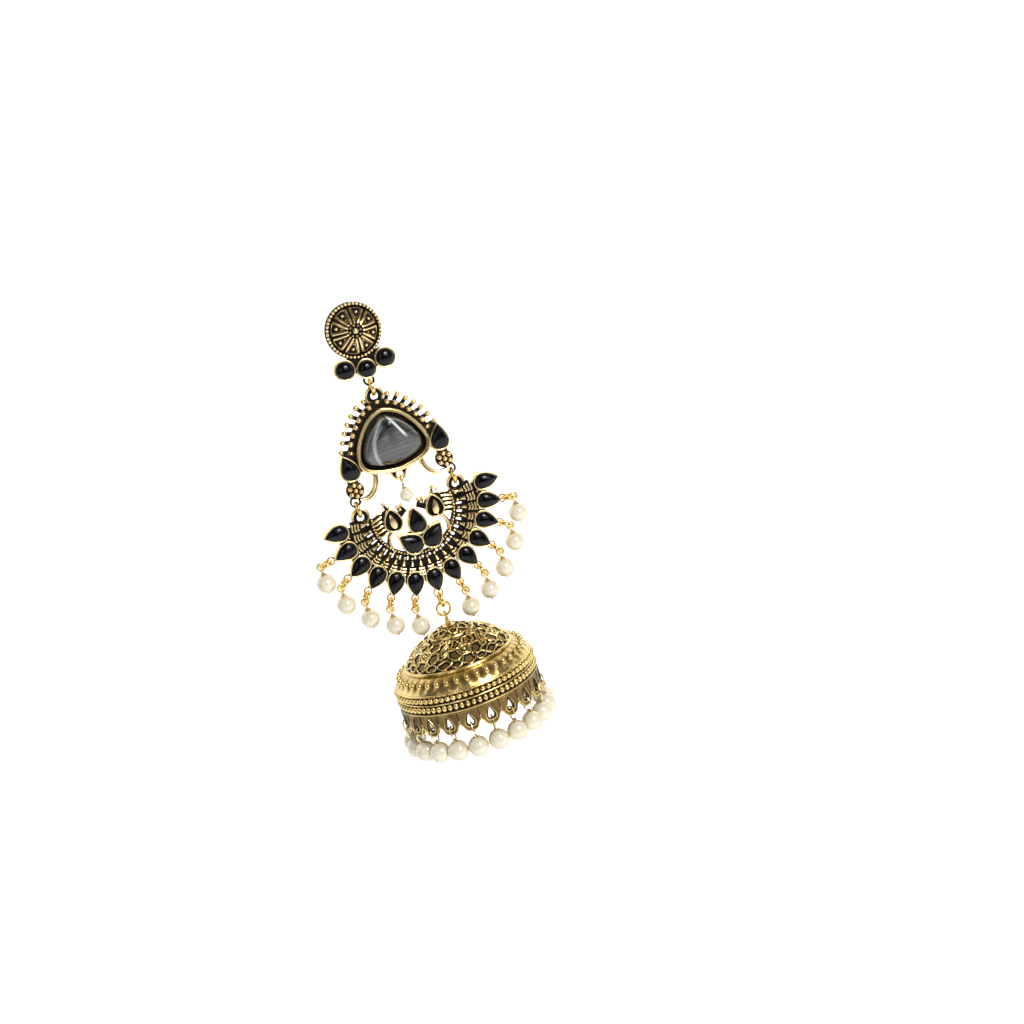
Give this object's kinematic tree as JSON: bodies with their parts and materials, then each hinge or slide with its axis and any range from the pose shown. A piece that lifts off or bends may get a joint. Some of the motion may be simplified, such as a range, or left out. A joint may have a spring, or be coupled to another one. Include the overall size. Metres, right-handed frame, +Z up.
{
  "type": "jhumka earring",
  "caption": "Long antique-gold jhumka drop earring: round stud, cat's-eye pendant, crescent fan with black petals and pearls, and a pierced bell with a pearl rim.",
  "frame": {"origin": "root of the ear post, at the centre of the stud's back face", "axes": "+Z up as worn, -Y out of the decorated face towards the viewer, +Y along the ear post, +X to the right seen from the front"},
  "size_m": [0.0466, 0.0338, 0.0953],
  "materials": {
    "antique_gold": "antique gold with black recesses",
    "black_glass": "gloss, opaque",
    "cats_eye": "gloss, opaque, with a pale moving band",
    "pearl": "pearl coat"
  },
  "bodies": {
    "stud": {"stud_frame": "antique_gold", "ear_post": "antique_gold", "stud_stone_left": "black_glass", "stud_stone_middle": "black_glass", "stud_stone_right": "black_glass"},
    "stud_ring": {"stud_link": "antique_gold"},
    "pendant": {"kite_frame": "antique_gold", "cats_eye_stone": "cats_eye", "kite_stone_left": "black_glass", "kite_stone_right": "black_glass", "kite_pearl": "pearl"},
    "fan": {"side_link_left": "antique_gold", "side_link_right": "antique_gold", "fan_frame": "antique_gold", "petal_stone_1": "black_glass", "petal_stone_2": "black_glass", "petal_stone_3": "black_glass", "petal_stone_4": "black_glass", "petal_stone_5": "black_glass", "petal_stone_6": "black_glass", "petal_stone_7": "black_glass", "petal_stone_8": "black_glass", "petal_stone_9": "black_glass", "petal_stone_10": "black_glass", "petal_stone_11": "black_glass", "petal_stone_12": "black_glass", "petal_stone_13": "black_glass", "lotus_stone_top": "black_glass", "lotus_stone_left": "black_glass", "lotus_stone_right": "black_glass", "drop_link_2": "antique_gold", "drop_link_3": "antique_gold", "drop_link_4": "antique_gold", "drop_link_5": "antique_gold", "drop_link_6": "antique_gold", "drop_link_8": "antique_gold", "drop_link_9": "antique_gold", "drop_link_10": "antique_gold", "drop_link_11": "antique_gold", "drop_link_12": "antique_gold", "fan_pearl_2": "pearl", "fan_pearl_3": "pearl", "fan_pearl_4": "pearl", "fan_pearl_5": "pearl", "fan_pearl_6": "pearl", "fan_pearl_8": "pearl", "fan_pearl_9": "pearl", "fan_pearl_10": "pearl", "fan_pearl_11": "pearl", "fan_pearl_12": "pearl"},
    "bell": {"bell_link": "antique_gold", "bell_ring": "antique_gold", "bell": "antique_gold", "bell_fringe": "pearl"}
  },
  "joints": [
    {"name": "ring_fore_aft", "type": "hinge", "parent": "stud", "child": "stud_ring", "pos_m": [0, -0.00035, -0.01075], "axis": [1, 0, 0], "range_deg": [-12, 12]},
    {"name": "pendant_side_swing", "type": "hinge", "parent": "stud_ring", "child": "pendant", "pos_m": [0, -0.00035, -0.01347], "axis": [0, 1, 0], "range_deg": [-25, 25]},
    {"name": "fan_fore_aft", "type": "hinge", "parent": "pendant", "child": "fan", "pos_m": [0, -0.00035, -0.03346], "axis": [1, 0, 0], "range_deg": [-18, 18]},
    {"name": "bell_fore_aft", "type": "hinge", "parent": "fan", "child": "bell", "pos_m": [0, -0.00035, -0.05751], "axis": [1, 0, 0], "range_deg": [-25, 25]}
  ]
}
